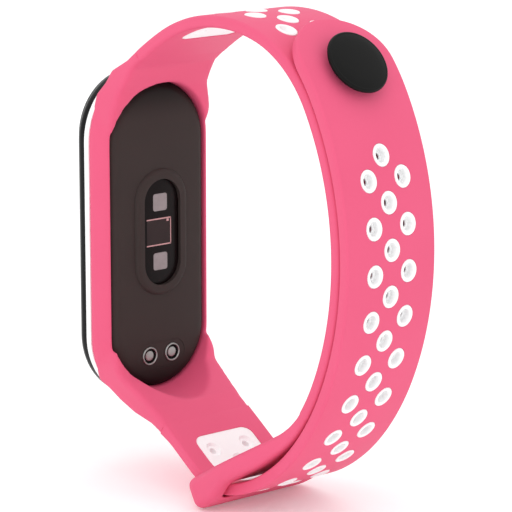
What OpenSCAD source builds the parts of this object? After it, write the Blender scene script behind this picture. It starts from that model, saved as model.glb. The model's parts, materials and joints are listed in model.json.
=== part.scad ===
// Fitness tracker on a two-colour perforated wrist strap.
// X runs from the tracker across the wrist, Y along the forearm, Z along the tracker.
// The origin is the middle of the wrist opening.
// Depths in the tracker are measured from its back face towards the glass.

/* [Tracker] */
// Length of the tracker over its glass
glass_len = 46.9; // [46.5:0.1:47.2]
// Width of the tracker over its glass
glass_w = 17.8; // [17.6:0.1:18]
// Width of the tracker's rear housing
housing_w = 17.2; // [16.8:0.1:17.3]
// Length of the tracker's rear housing
housing_len = 44.8; // [44.4:0.1:44.9]
// Wall of the rear housing
wall = 0.9; // [0.8:0.05:1]
// Depth of the tracker at the edge of its glass
edge_depth = 7.3; // [7.2:0.1:7.6]
// Extra depth at the middle of the curved glass
glass_crown = 1.9; // [1.5:0.1:2]

/* [Strap] */
// Width of the strap
strap_w = 15.6; // [15:0.1:16]
// Thickness of the strap
strap_t = 1.7; // [1.6:0.05:1.75]
// Gap between the two layers of strap
layer_gap = 0.2; // [0.15:0.05:0.3]
// Outer radius of the long bend opposite the tracker
main_r = 43; // [42.8:0.1:43.2]
// Pitch of the staggered perforations along the stud strap's outer face
stud_pitch = 6.26; // [6.2:0.01:6.3]
// Pitch of the staggered perforations along the hole strap's inner face
hole_pitch = 6.05; // [6:0.01:6.08]
// Sideways distance from the middle to an outer perforation
hole_side = 3; // [2.9:0.05:3.1]
// Radius of a perforation in the coloured layer
hole_r = 1.45; // [1.3:0.05:1.5]
// Radius of the eyelet's own hole in the white layer
eyelet_r = 0.8; // [0.6:0.05:0.9]
// Width of the white lining
lining_w = 10.4; // [10:0.1:10.8]
// Thickness of the white lining
lining_t = 0.5; // [0.4:0.05:0.6]

/* [Fastener] */
// Radius of the black stud cap
cap_r = 4.6; // [4.2:0.1:4.8]
// Height of the stud cap over the strap
cap_h = 1.6; // [1.2:0.1:1.8]
// Radius of the stud's post
post_r = 0.9; // [0.8:0.05:1]
// Width of the keeper loop at the end of the hole strap
loop_w = 20.6; // [20:0.1:21.4]
// Thickness of the keeper loop at its end
loop_t = 4.2; // [4:0.1:4.4]

/* [Hidden] */
$fn = 48;
EPS = 0.01;
BIG = 60;

// Place of the tracker's back face and its mid height
back_x = -23;

// Centre of the long bend, and the angle on it from which both straps are measured
main_c = [-17.2, 4.1];
main_a = -26;
corner_r = 17.5;
inner_r = main_r - 2 * strap_t - layer_gap;

// Runs of [radius, turn in degrees], or [0, length] where straight.
// The hole strap follows its inner face, the stud strap its outer face.
hole_up = [[inner_r, 56], [corner_r, 45], [25, 44], [60, 8]];
hole_down = [[26, -10], [14, -24], [0, 19.3]];
stud_up = [[main_r, 56], [28, 41]];
stud_down = [[36, -14], [31, -18], [24, -20], [11, -46], [0, 15.6]];
stud_root_len = 5.5;

// Stations along the straps
hole_root_s = run_len(hole_up);
hole_end_s = -run_len(hole_down);
stud_root_s = stud_root_len - run_len(stud_down);
flare_s = -4;
stud_s = 46;
tip_s = stud_s + 8.6;
hinge_s = 36;
hinge_gap = 0.05;
hole_stud_s = 41.8;
hole_rows = [-7:4];
hole_lining_s = [-2.5, 71.3];
stud_row_s = 33.75;
stud_rows = [0:11];
stud_lining_s = [-40, 35.4];
passage_gap = 0.25;
root_s = -40.5;
root_rise = 0.15;
close_s = -30;
close_part = 0.12;
slot_x = 2;
stretch_r = 1.6;

// Tracker stack, as depths
trim_depth = [4.1, 5.8];
chassis_depth = [4.3, 7];
lip = 0.1;
clear = 0.1;
sensor_z = 0.65;
pin_z = -17.45;
pin_y = 2.05;
motor_z = 15.8;
motor_r = 3.7;

// ---- Paths ----

function seg_len(g) = g[0] == 0 ? g[1] : g[0] * abs(g[1]) * PI / 180;
function run_len(run, i = 0) = i == len(run) ? 0 : seg_len(run[i]) + run_len(run, i + 1);

// Moves a place [x, z, heading] along one segment
function go(p, g) = g[0] == 0
    ? [p[0] + g[1] * cos(p[2]), p[1] + g[1] * sin(p[2]), p[2]]
    : let (k = sign(g[1]), e = p[2] + g[1])
        [p[0] + k * g[0] * (sin(e) - sin(p[2])), p[1] - k * g[0] * (cos(e) - cos(p[2])), e];
function cut_seg(g, s) = g[0] == 0 ? [0, s] : [g[0], sign(g[1]) * s / g[0] * 180 / PI];
function walk(p, run, s, i = 0) = i == len(run) - 1 || s <= seg_len(run[i])
    ? go(p, cut_seg(run[i], s))
    : walk(go(p, run[i]), run, s - seg_len(run[i]), i + 1);

function about(p) = [p[0], p[1], p[2] + 180];
function start(r) = [main_c.x + r * cos(main_a), main_c.y + r * sin(main_a), main_a + 90];
function on_run(r, up, down, s) = s >= 0
    ? walk(start(r), up, s)
    : about(walk(about(start(r)), down, -s));
function on_hole_strap(s) = on_run(inner_r, hole_up, hole_down, s);
function on_stud_strap(s) = on_run(main_r, stud_up, stud_down, s);

// A point d further out than the place p
function out(p, d) = [p[0] + d * sin(p[2]), p[1] - d * cos(p[2])];
function spread(a, b, step = 1.6) = let (n = ceil((b - a) / step)) [for (i = [0:n]) a + (b - a) * i / n];

// ---- Shared shapes ----

// Outline in X and Z, given a width along Y
module along_y(w) {
    rotate([90, 0, 0]) linear_extrude(w, center = true) children();
}

// Outline in Y and Z, from one depth in the tracker to another
module at_depth(d0, d1) {
    translate([back_x - d1, 0, 0]) rotate([90, 0, 90]) linear_extrude(d1 - d0) children();
}

module stadium(w, l) {
    square([w, l - w], center = true);
    for (k = [-1, 1]) translate([0, k * (l - w) / 2]) circle(d = w);
}

module slab(d0, d1, y, z) {
    at_depth(d0, d1) square([y, z], center = true);
}

// Side view of a strap between two distances from its path
module hole_band(s0, s1, d0, d1) {
    track = [for (s = spread(s0, s1)) on_hole_strap(s)];
    polygon(concat([for (p = track) out(p, d0)],
        [for (i = [len(track) - 1:-1:0]) out(track[i], d1)]));
}

module stud_band(s0, s1, d0, d1) {
    track = [for (s = spread(s0, s1)) on_stud_strap(s)];
    polygon(concat([for (p = track) out(p, d0)],
        [for (i = [len(track) - 1:-1:0]) out(track[i], d1)]));
}

// The stud strap grows thicker outwards where it joins the frame
function root_swell(s) = max(0, root_s - s) * root_rise;

module stud_root_wedge() {
    stations = spread(stud_root_s, root_s, 1);
    polygon(concat([for (s = stations) out(on_stud_strap(s), -strap_t / 2)],
        [for (i = [len(stations) - 1:-1:0]) out(on_stud_strap(stations[i]), root_swell(stations[i]))]));
}

// Puts a child, standing on +Z, on a strap with +Z pointing out of the wrist
module stand_on(p, y = 0) {
    translate([p[0], y, p[1]]) rotate([0, 180 - p[2], 0]) children();
}

module pin_through(r, h0, h1) {
    translate([0, 0, h0]) cylinder(r = r, h = h1 - h0);
}

// Staggered perforations: one in the middle, then a pair half a pitch further down
module hole_perforations(r, h0, h1) {
    for (k = hole_rows) {
        if (k != 0) stand_on(on_hole_strap(hole_stud_s + k * hole_pitch)) pin_through(r, h0, h1);
        for (y = [-1, 1])
            stand_on(on_hole_strap(hole_stud_s + (k + 0.5) * hole_pitch), y * hole_side) pin_through(r, h0, h1);
    }
}

// The stud strap's rows stand a little closer near its root
function stud_row(k) = let (s = stud_row_s - k * stud_pitch) s + max(0, close_s - s) * close_part;

module stud_perforations(r, h0, h1) {
    for (k = stud_rows) {
        stand_on(on_stud_strap(stud_row(k))) pin_through(r, h0, h1);
        for (y = [-1, 1])
            stand_on(on_stud_strap(stud_row(k + 0.5)), y * hole_side) pin_through(r, h0, h1);
    }
}

// ---- Silicone band ----

module carrier_frame() {
    hole_root = on_hole_strap(hole_root_s);
    stud_root = on_stud_strap(stud_root_s);
    color("#f46b8b") difference() {
        union() {
            at_depth(1.4, trim_depth[0]) stadium(20.4, 48.6);
            at_depth(0.1, 1.5) stadium(19.4, 47.6);
            along_y(strap_w) polygon([[back_x - 3.8, 12], [back_x + 0.5, 16], [back_x + 1.4, 21.5],
                out(hole_root, 0), out(hole_root, strap_t), [back_x - 1, 24.6], [back_x - 2.2, 22.8],
                [back_x - 3.8, 21]]);
            along_y(strap_w) polygon([[back_x - 3.8, -12], [back_x - 3.8, -20.4], [back_x - 1.6, -21.3],
                [back_x + 3.6, -23.8], out(stud_root, root_swell(stud_root_s)), out(stud_root, -strap_t),
                [back_x + 2.2, -19], [back_x + 0.5, -15]]);
        }
        at_depth(-8, 8) stadium(housing_w + 2 * clear, housing_len + 2 * clear);
    }
}

module trim_ring() {
    color("white") at_depth(trim_depth[0], trim_depth[1]) difference() {
        stadium(19.2, 48.3);
        stadium(glass_w + 2 * clear, glass_len + 2 * clear);
    }
}

// Wedge at the end of the hole strap, wide enough for the stud strap to pass through
module keeper_loop() {
    track = [for (s = spread(hole_end_s, flare_s)) on_hole_strap(s)];
    grow = function(i) strap_t + (loop_t - strap_t) * (1 - i / (len(track) - 1));
    top = track[len(track) - 1];
    full_x = 11;
    end_x = track[0][0] - 0.2;
    corner = 2.4;
    difference() {
        intersection() {
            along_y(loop_w) polygon(concat([for (p = track) out(p, 0)],
                [for (i = [len(track) - 1:-1:0]) out(track[i], grow(i))]));
            translate([0, 0, -BIG]) linear_extrude(BIG) union() {
                polygon([[top[0] + 2, strap_w / 2], [full_x, loop_w / 2], [end_x + corner, loop_w / 2],
                    [end_x + corner, -loop_w / 2], [full_x, -loop_w / 2], [top[0] + 2, -strap_w / 2]]);
                translate([end_x, corner - loop_w / 2]) square([corner + EPS, loop_w - 2 * corner]);
                for (y = [-1, 1]) translate([end_x + corner, y * (loop_w / 2 - corner)]) circle(corner);
            }
        }
        along_y(strap_w + 3 * passage_gap) {
            intersection() {
                stud_band(stud_root_s, 0, -9, passage_gap);
                translate([slot_x - BIG, -BIG]) square([BIG, BIG]);
            }
            intersection() {
                stud_band(stud_root_s, 8, -strap_t - passage_gap, 6);
                translate([slot_x - EPS, -BIG]) square([BIG, 2 * BIG]);
            }
        }
    }
}

module hole_strap() {
    color("#f46b8b") difference() {
        union() {
            along_y(strap_w) hole_band(flare_s, hole_root_s, 0, strap_t);
            keeper_loop();
        }
        along_y(lining_w) hole_band(hole_lining_s[0], hole_lining_s[1], -1, lining_t);
        hole_perforations(hole_r, -1, strap_t + 2);
        stand_on(on_hole_strap(hole_stud_s)) pin_through(stretch_r, -1, strap_t + 1);
    }
}

module hole_strap_lining() {
    color("white") difference() {
        union() {
            along_y(lining_w) hole_band(hole_lining_s[0], hole_lining_s[1], lip, lining_t);
            intersection() {
                hole_perforations(hole_r, lip, strap_t + 2);
                along_y(strap_w) hole_band(hole_lining_s[0], hole_lining_s[1], lip, strap_t - lip);
            }
        }
        hole_perforations(eyelet_r, -1, strap_t + 3);
        stand_on(on_hole_strap(hole_stud_s)) pin_through(stretch_r, -1, strap_t + 1);
    }
}

module stud_strap() {
    color("#f46b8b") difference() {
        along_y(strap_w) {
            stud_band(stud_root_s, hinge_s - hinge_gap, -strap_t, 0);
            stud_root_wedge();
        }
        along_y(lining_w) stud_band(stud_lining_s[0], stud_lining_s[1], -strap_t - 1, lining_t - strap_t);
        stud_perforations(hole_r, -strap_t - 1, 1);
    }
}

module stud_strap_lining() {
    color("white") difference() {
        union() {
            along_y(lining_w) stud_band(stud_lining_s[0], stud_lining_s[1], lip - strap_t, lining_t - strap_t);
            intersection() {
                stud_perforations(hole_r, lip - strap_t, 1);
                along_y(strap_w) stud_band(stud_lining_s[0], stud_lining_s[1], lip - strap_t, -lip);
            }
        }
        stud_perforations(eyelet_r, -strap_t - 1, 1);
    }
}

// Rounded end that lifts off the hole strap when the stud is pulled out
module stud_strap_tip() {
    round_r = strap_w / 2;
    centre = on_stud_strap(tip_s - round_r);
    color("#f46b8b") difference() {
        intersection() {
            along_y(strap_w) stud_band(hinge_s + hinge_gap, tip_s, -strap_t, 0);
            union() {
                stand_on(centre) pin_through(round_r, -6, 6);
                along_y(strap_w) stud_band(hinge_s - 1, tip_s - round_r, -4, 4);
            }
        }
        stand_on(on_stud_strap(stud_s)) pin_through(post_r, -6, 6);
    }
}

module stud_cap() {
    base = 0.5;
    color("#1c1c1c") stand_on(on_stud_strap(stud_s)) rotate_extrude() polygon([[0, base],
        [cap_r - 1.2, base], [cap_r - 0.2, 0.9], [cap_r, 1.15], [cap_r - 0.3, cap_h],
        [cap_r - 1.2, cap_h + 0.25], [0, cap_h + 0.3]]);
}

module stud_post() {
    color("#2a2a2a") stand_on(on_stud_strap(stud_s)) rotate_extrude()
        polygon([[0, -3.3], [post_r - 0.3, -3.3], [post_r, -3], [post_r, 0], [2.8, 0], [3.1, 0.5], [0, 0.5]]);
}

// ---- Tracker casing ----

module sensor_boss_outline(grow) {
    translate([0, sensor_z]) stadium(6.5 + 2 * grow, 15.5 + 2 * grow);
}

module rear_housing() {
    color("#3e3534") difference() {
        union() {
            at_depth(0, chassis_depth[0]) stadium(housing_w, housing_len);
            at_depth(-0.6, EPS) sensor_boss_outline(1.5);
        }
        at_depth(wall, chassis_depth[0] + 1) stadium(housing_w - 2 * wall, housing_len - 2 * wall);
        at_depth(-2, 2) sensor_boss_outline(0);
        at_depth(-1, 0.2) translate([0, pin_z]) rotate(90) stadium(4.6, 9);
        for (y = [-pin_y, pin_y]) at_depth(-1, 2) translate([y, pin_z]) circle(1.3);
    }
}

module sensor_lens() {
    color("#141011", 0.6) at_depth(-0.35, 0.3) sensor_boss_outline(-0.02);
}

module sensor_board() {
    color("#1d3b2a") slab(1.3, 1.8, 11, 19);
}

module sensor_leds() {
    color("#b9aeb0") for (z = [4.95, -3.65]) translate([0, 0, z]) slab(0.6, 1.3, 2.6, 2.5);
}

module photodiode() {
    color("#4a3538") translate([0, 0, sensor_z]) slab(0.7, 1.3, 4.4, 3.7);
}

module light_barrier() {
    color("#101010") translate([0, 0, sensor_z]) difference() {
        at_depth(0.35, 1.3) stadium(6.2, 15.2);
        slab(0.3, 1.4, 5.2, 4.6);
        for (z = [4.3, -4.3]) translate([0, 0, z]) slab(0.3, 1.4, 3.4, 3.2);
    }
}

module at_pins() {
    for (y = [-pin_y, pin_y]) translate([back_x, y, pin_z]) rotate([0, 90, 0]) children();
}

module charge_pins() {
    color("#c9c6c2") at_pins() rotate_extrude()
        polygon([[0, -1.9], [0.6, -1.9], [0.6, -1.6], [0.95, -1.6], [0.95, 0.1], [0.85, 0.2], [0, 0.2]]);
}

module charge_pin_seals() {
    color("#8d8a88") at_pins() difference() {
        translate([0, 0, -1.2]) cylinder(r = 1.3, h = 1.15);
        translate([0, 0, -2]) cylinder(r = 0.95, h = 4);
    }
}

module charge_springs() {
    color("#d6b25e") at_pins() translate([0, 0, -4.6]) difference() {
        cylinder(r = 0.7, h = 2.7);
        translate([0, 0, -1]) cylinder(r = 0.45, h = 5);
    }
}

// ---- Tracker insides ----

module battery() {
    color("#b7bcc0") slab(2.1, 4.3, 14, 20);
}

module battery_pad() {
    color("#2f2f33") slab(1.85, 2.05, 12, 16);
}

module main_board() {
    color("#1d4a2f") at_depth(4.6, 5.1) stadium(14.2, 41);
}

module processor() {
    color("#26262a") translate([0, 0, -13]) slab(3.7, 4.6, 5, 4);
}

module radio_can() {
    color("#c4c6c6") translate([0, 4.6, -12.6]) slab(3.5, 4.6, 3.6, 4.6);
}

module antenna_strip() {
    color("#cf9a54") translate([0, 0, 20.4]) slab(2, 4, 6, 0.4);
}

module at_motor() {
    translate([back_x, 0, motor_z]) rotate([0, 90, 0]) children();
}

module motor_can() {
    color("#a9abad") at_motor() difference() {
        translate([0, 0, -4.1]) cylinder(r = motor_r, h = 2.7);
        translate([0, 0, -3.85]) cylinder(r = motor_r - 0.25, h = 2.2);
    }
}

module motor_shaft() {
    color("#dddddd") at_motor() translate([0, 0, -3.85]) cylinder(r = 0.4, h = 2.2);
}

module motor_weight() {
    color("#8f7f6a") at_motor() difference() {
        translate([0, 0, -3.5]) cylinder(r = motor_r - 0.6, h = 1.5);
        translate([0, 0, -5]) cylinder(r = 0.45, h = 5);
        translate([-BIG, 0.9, -5]) cube([2 * BIG, BIG, 5]);
    }
}

module chassis() {
    color("#232326") difference() {
        at_depth(chassis_depth[0], chassis_depth[1]) stadium(glass_w, glass_len);
        at_depth(chassis_depth[0] - 1, 5.2) stadium(14.8, 42);
        at_depth(5.8, 8) stadium(15.4, 44.4);
        for (z = [-1, 1]) at_depth(5, 6) translate([0, z * 19.6]) circle(0.7);
        at_depth(5, 6) translate([0, -15.6]) square([9, 1], center = true);
    }
}

module chassis_screws() {
    color("#9fa2a4") for (z = [-1, 1]) translate([back_x, 0, z * 19.6]) rotate([0, -90, 0]) {
        translate([0, 0, 5.1]) cylinder(r = 0.65, h = 0.75);
        translate([0, 0, 5.82]) cylinder(r = 1.1, h = 0.5);
    }
}

module display_panel() {
    color("#0b0b12") translate([0, 0, 2]) slab(5.85, 6.8, 13, 26);
}

module display_flex() {
    color("#c98a35") translate([0, 0, -15.6]) {
        slab(5.2, 6.3, 8, 0.3);
        translate([0, 0, 2.3]) slab(6, 6.3, 8, 4.4);
    }
}

module touch_pad() {
    color("#5b5f63") translate([0, 0, -18]) slab(6.7, 6.95, 7, 6);
}

module glass_gasket() {
    color("#17171a") at_depth(chassis_depth[1], chassis_depth[1] + 0.1) difference() {
        stadium(glass_w - 0.2, glass_len - 0.2);
        stadium(15.6, 44.6);
    }
}

// Glass crowned across its width, and sloping a little towards both ends
module front_glass() {
    end_slope = glass_crown + 0.3;
    across_r = (glass_w * glass_w / 4 + glass_crown * glass_crown) / (2 * glass_crown);
    along_r = (glass_len * glass_len / 4 + end_slope * end_slope) / (2 * end_slope);
    edge_x = back_x - edge_depth;
    color("#0c0c0f") intersection() {
        at_depth(chassis_depth[1] + 0.1, edge_depth + glass_crown + 1) stadium(glass_w, glass_len);
        translate([edge_x - glass_crown + across_r, 0, 0])
            cylinder(r = across_r, h = 2 * BIG, center = true, $fn = 480);
        translate([edge_x - end_slope + along_r, 0, 0]) rotate([90, 0, 0])
            cylinder(r = along_r, h = 2 * BIG, center = true, $fn = 720);
    }
}

carrier_frame();
trim_ring();
hole_strap();
hole_strap_lining();
stud_strap();
stud_strap_lining();
stud_strap_tip();
stud_cap();
stud_post();
rear_housing();
sensor_lens();
sensor_board();
sensor_leds();
photodiode();
light_barrier();
charge_pins();
charge_pin_seals();
charge_springs();
battery();
battery_pad();
main_board();
processor();
radio_can();
antenna_strip();
motor_can();
motor_shaft();
motor_weight();
chassis();
chassis_screws();
display_panel();
display_flex();
touch_pad();
glass_gasket();
front_glass();
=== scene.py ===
"""Builds the visible model of a fitness tracker on a two-colour perforated strap."""

import json
import math

import bmesh
import bpy
from mathutils import Matrix, Vector


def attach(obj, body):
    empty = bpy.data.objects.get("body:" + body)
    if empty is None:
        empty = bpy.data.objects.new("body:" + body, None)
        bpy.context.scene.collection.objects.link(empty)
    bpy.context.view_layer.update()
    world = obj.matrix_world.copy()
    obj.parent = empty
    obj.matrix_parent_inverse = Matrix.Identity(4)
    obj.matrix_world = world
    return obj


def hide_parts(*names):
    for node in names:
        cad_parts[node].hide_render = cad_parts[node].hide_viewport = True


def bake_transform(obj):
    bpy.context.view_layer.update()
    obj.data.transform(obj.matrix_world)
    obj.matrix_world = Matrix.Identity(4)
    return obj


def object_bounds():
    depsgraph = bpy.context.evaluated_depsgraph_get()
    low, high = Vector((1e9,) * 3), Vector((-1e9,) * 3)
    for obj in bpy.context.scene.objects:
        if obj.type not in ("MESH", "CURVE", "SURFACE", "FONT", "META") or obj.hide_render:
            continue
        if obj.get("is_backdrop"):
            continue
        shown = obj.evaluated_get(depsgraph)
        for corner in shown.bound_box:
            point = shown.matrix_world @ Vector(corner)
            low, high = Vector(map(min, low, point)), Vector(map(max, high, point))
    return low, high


bl_info = {
    "name": "Fitness tracker band",
    "version": (1, 0, 0),
    "blender": (4, 5, 0),
    "location": "3D View > Sidebar > Tracker",
    "description": "Makes the strap, tracker and clasp of a fitness tracker band",
    "category": "Add Mesh",
}

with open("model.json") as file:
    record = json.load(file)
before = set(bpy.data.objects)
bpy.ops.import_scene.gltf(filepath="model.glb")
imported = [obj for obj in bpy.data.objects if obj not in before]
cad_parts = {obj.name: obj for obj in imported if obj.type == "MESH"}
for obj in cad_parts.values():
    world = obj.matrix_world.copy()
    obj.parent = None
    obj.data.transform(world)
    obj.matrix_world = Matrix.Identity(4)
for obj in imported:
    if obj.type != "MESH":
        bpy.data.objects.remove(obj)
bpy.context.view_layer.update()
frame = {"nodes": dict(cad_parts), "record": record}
MM = 0.001

# Side-view path of both straps, in millimetres and degrees, as in the part's source.
# Runs are (radius, turn), or (0, length) where the strap is straight.
MAIN_CENTRE = (-17.2, 4.1)
START_ANGLE = -26.0
STRAP_T = 1.7
HOLE_TRACK = {
    "radius": 39.4,
    "up": [(39.4, 56), (17.5, 45), (25, 44), (60, 8)],
    "down": [(26, -10), (14, -24), (0, 19.3)],
}
STUD_TRACK = {
    "radius": 43.0,
    "up": [(43, 56), (28, 41)],
    "down": [(36, -14), (31, -18), (24, -20), (11, -46), (0, 15.6)],
}
HOLE_PITCH = 6.05
STUD_PITCH = 6.26
HOLE_STUD_S = 41.8
STUD_S = 46.0
TIP_S = STUD_S + 8.6
STUD_ROW_S = 33.75
HINGE_S = 36.0
FLARE_S = -4.0
HOLE_LINING = (-2.5, 71.3)
STUD_LINING = (-40.0, 35.4)
STUD_ROOT_LEN = 5.5
ROOT_SWELL_S = -40.5
ROOT_RISE = 0.2
CLOSE_S = -30.0
CLOSE_PART = 0.12
BACK_X = -23.0


# ---- Paths ----


def run_length(run):
    """Length of a run of arcs and straights."""
    return sum(b if a == 0 else a * math.radians(abs(b)) for a, b in run)


def go(place, radius, turn):
    """Moves a place (x, z, heading) along one arc, or along a straight if the radius is 0."""
    x, z, h = place
    if radius == 0:
        return (x + turn * math.cos(h), z + turn * math.sin(h), h)
    k = math.copysign(radius, turn)
    e = h + math.radians(turn)
    return (x + k * (math.sin(e) - math.sin(h)), z - k * (math.cos(e) - math.cos(h)), e)


def walk(place, run, s):
    """The place at distance s along a run; past its end the last piece goes on."""
    for i, (a, b) in enumerate(run):
        length = b if a == 0 else a * math.radians(abs(b))
        if s <= length or i == len(run) - 1:
            part = s if a == 0 else math.degrees(s / a) * math.copysign(1, b)
            return go(place, a, part)
        place = go(place, a, b)
        s -= length


def on_track(track, s):
    """(x, z, heading) at station s of a strap's path."""
    a = math.radians(START_ANGLE)
    r = track["radius"]
    x = MAIN_CENTRE[0] + r * math.cos(a)
    z = MAIN_CENTRE[1] + r * math.sin(a)
    if s >= 0:
        return walk((x, z, a + math.pi / 2), track["up"], s)
    x, z, h = walk((x, z, a - math.pi / 2), track["down"], -s)
    return (x, z, h + math.pi)


HOLE_ROOT_S = run_length(HOLE_TRACK["up"])
HOLE_END_S = -run_length(HOLE_TRACK["down"])
STUD_ROOT_S = STUD_ROOT_LEN - run_length(STUD_TRACK["down"])


def track_point(track, s, depth, y=0.0):
    """A point in millimetres, depth further out than the path at s."""
    x, z, h = on_track(track, s)
    return Vector((x + depth * math.sin(h), y, z - depth * math.cos(h)))


def bend(bm, track):
    """Bends a flat piece, made with x along the strap and z outwards, onto a strap's path."""
    for v in bm.verts:
        v.co = track_point(track, v.co.x, v.co.z, v.co.y)
    bmesh.ops.recalc_face_normals(bm, faces=bm.faces)


def eased(t):
    """0 to 1 with gentle ends."""
    t = min(1.0, max(0.0, t))
    return t * t * (3 - 2 * t)


# ---- Mesh helpers, in millimetres ----


def box(lo, hi):
    """A closed box as a new bmesh."""
    bm = bmesh.new()
    lo = Vector(lo)
    hi = Vector(hi)
    size = hi - lo
    place = Matrix.Translation((lo + hi) / 2) @ Matrix.Diagonal((*size, 1))
    bmesh.ops.create_cube(bm, size=1, matrix=place)
    return bm


def round_edges(bm, edges, radius, segments):
    """Bevels edges with a round profile."""
    if radius > 0 and edges:
        bmesh.ops.bevel(
            bm,
            geom=list(edges),
            offset=radius,
            offset_type="OFFSET",
            affect="EDGES",
            segments=segments,
            profile=0.5,
            material=-1,
            clamp_overlap=True,
        )


def edges_along(bm, axis, where=None):
    """Edges parallel to an axis, and at given places if asked."""
    found = []
    for e in bm.edges:
        d = e.verts[1].co - e.verts[0].co
        if abs(d[axis]) > 0.999 * d.length and (where is None or where(e.verts[0].co)):
            found.append(e)
    return found


def rim(bm, axis, at, tol=1e-3):
    """Edges that bound the flat side at a coordinate along an axis."""
    found = []
    for e in bm.edges:
        if all(abs(v.co[axis] - at) < tol for v in e.verts):
            flat = [all(abs(v.co[axis] - at) < tol for v in f.verts) for f in e.link_faces]
            if flat.count(True) == 1:
                found.append(e)
    return found


def stadium_block(x0, x1, width, length, low=0.0, high=0.0, y=0.0, z=0.0, corner=None, steps=14, soft=5):
    """A block along x with round ends in y and z, and rounded rims at its low and high x sides."""
    half_w = width / 2
    half_l = length / 2
    bm = box((x0, y - half_w, z - half_l), (x1, y + half_w, z + half_l))
    if corner is None:
        corner = min(half_w, half_l) * 0.9995
    round_edges(bm, edges_along(bm, 0), corner, steps)
    bmesh.ops.remove_doubles(bm, verts=bm.verts, dist=0.03)
    if low:
        round_edges(bm, rim(bm, 0, x0), low, soft)
    if high:
        round_edges(bm, rim(bm, 0, x1), high, soft)
    return bm


def scratch_object(bm, name):
    """A temporary object that owns a copy of the bmesh."""
    mesh = bpy.data.meshes.new(name)
    bm.to_mesh(mesh)
    bm.free()
    obj = bpy.data.objects.new(name, mesh)
    bpy.context.scene.collection.objects.link(obj)
    return obj


def settled(obj):
    """Applies an object's modifiers, removes it and gives its mesh back as a bmesh."""
    depsgraph = bpy.context.evaluated_depsgraph_get()
    mesh = bpy.data.meshes.new_from_object(obj.evaluated_get(depsgraph))
    bm = bmesh.new()
    bm.from_mesh(mesh)
    bpy.data.meshes.remove(mesh)
    old = obj.data
    bpy.data.objects.remove(obj)
    bpy.data.meshes.remove(old)
    return bm


def boolean(bm, other, operation):
    """Cuts, joins or intersects two closed bmeshes; both are used up."""
    base = scratch_object(bm, "base")
    tool = scratch_object(other, "tool")
    mod = base.modifiers.new("cut", "BOOLEAN")
    mod.operation = operation
    mod.solver = "EXACT"
    mod.use_self = False
    mod.object = tool
    result = settled(base)
    old = tool.data
    bpy.data.objects.remove(tool)
    bpy.data.meshes.remove(old)
    return result


def moulded(bm, voxel, passes):
    """Remeshes a rough union of solids into one soft moulded skin."""
    base = scratch_object(bm, "rough")
    mod = base.modifiers.new("skin", "REMESH")
    mod.mode = "VOXEL"
    mod.voxel_size = voxel
    mod.adaptivity = 0.0
    result = settled(base)
    for _ in range(passes):
        bmesh.ops.smooth_vert(
            result, verts=result.verts, factor=0.5, use_axis_x=True, use_axis_y=True, use_axis_z=True
        )
    return result


def merge_in(bm, other, place=None):
    """Adds another bmesh to this one, moved by a matrix; the other is used up."""
    if place is not None:
        bmesh.ops.transform(other, matrix=place, verts=other.verts)
    mesh = bpy.data.meshes.new("part")
    other.to_mesh(mesh)
    other.free()
    bm.from_mesh(mesh)
    bpy.data.meshes.remove(mesh)


def slice_along(bm, axis, lo, hi, step):
    """Adds cross cuts so that a flat piece can bend."""
    count = int((hi - lo) / step)
    normal = Vector((0, 0, 0))
    normal[axis] = 1
    for i in range(1, count):
        point = Vector((0, 0, 0))
        point[axis] = lo + (hi - lo) * i / count
        geom = bm.verts[:] + bm.edges[:] + bm.faces[:]
        bmesh.ops.bisect_plane(bm, geom=geom, dist=1e-5, plane_co=point, plane_no=normal)


def trim(bm, point, normal):
    """Cuts away what lies on the normal's side of a plane, and closes the cut."""
    geom = bm.verts[:] + bm.edges[:] + bm.faces[:]
    cut = bmesh.ops.bisect_plane(
        bm, geom=geom, dist=1e-5, plane_co=point, plane_no=normal, clear_outer=True
    )
    edges = [e for e in cut["geom_cut"] if isinstance(e, bmesh.types.BMEdge)]
    bmesh.ops.holes_fill(bm, edges=edges, sides=0)


def lathe(profile, steps):
    """Spins a closed (radius, height) profile about z."""
    bm = bmesh.new()
    verts = [bm.verts.new((r, 0, h)) for r, h in profile]
    edges = [bm.edges.new((verts[i], verts[(i + 1) % len(verts)])) for i in range(len(verts))]
    bmesh.ops.spin(
        bm,
        geom=verts + edges,
        cent=(0, 0, 0),
        axis=(0, 0, 1),
        angle=2 * math.pi,
        steps=steps,
        use_merge=True,
    )
    bmesh.ops.remove_doubles(bm, verts=bm.verts, dist=1e-4)
    bmesh.ops.recalc_face_normals(bm, faces=bm.faces)
    return bm


def prism(outline, half_w):
    """A solid with an (x, z) outline, running across the strap."""
    bm = bmesh.new()
    face = bm.faces.new([bm.verts.new((x, -half_w, z)) for x, z in outline])
    out = bmesh.ops.extrude_face_region(bm, geom=[face])
    moved = [g for g in out["geom"] if isinstance(g, bmesh.types.BMVert)]
    bmesh.ops.translate(bm, verts=moved, vec=(0, 2 * half_w, 0))
    bmesh.ops.recalc_face_normals(bm, faces=bm.faces)
    return bm


def facing_x(r_axis_x):
    """Turns a piece made on +z so that it stands on +x at the given x."""
    return Matrix.Translation((r_axis_x, 0, 0)) @ Matrix.Rotation(math.pi / 2, 4, "Y")


def standing_on(track, s, y=0.0):
    """Turns a piece made on +z so that it stands on a strap's path, pointing out of the wrist."""
    x, z, h = on_track(track, s)
    return Matrix.Translation((x, y, z)) @ Matrix.Rotation(math.pi - h, 4, "Y")


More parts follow.
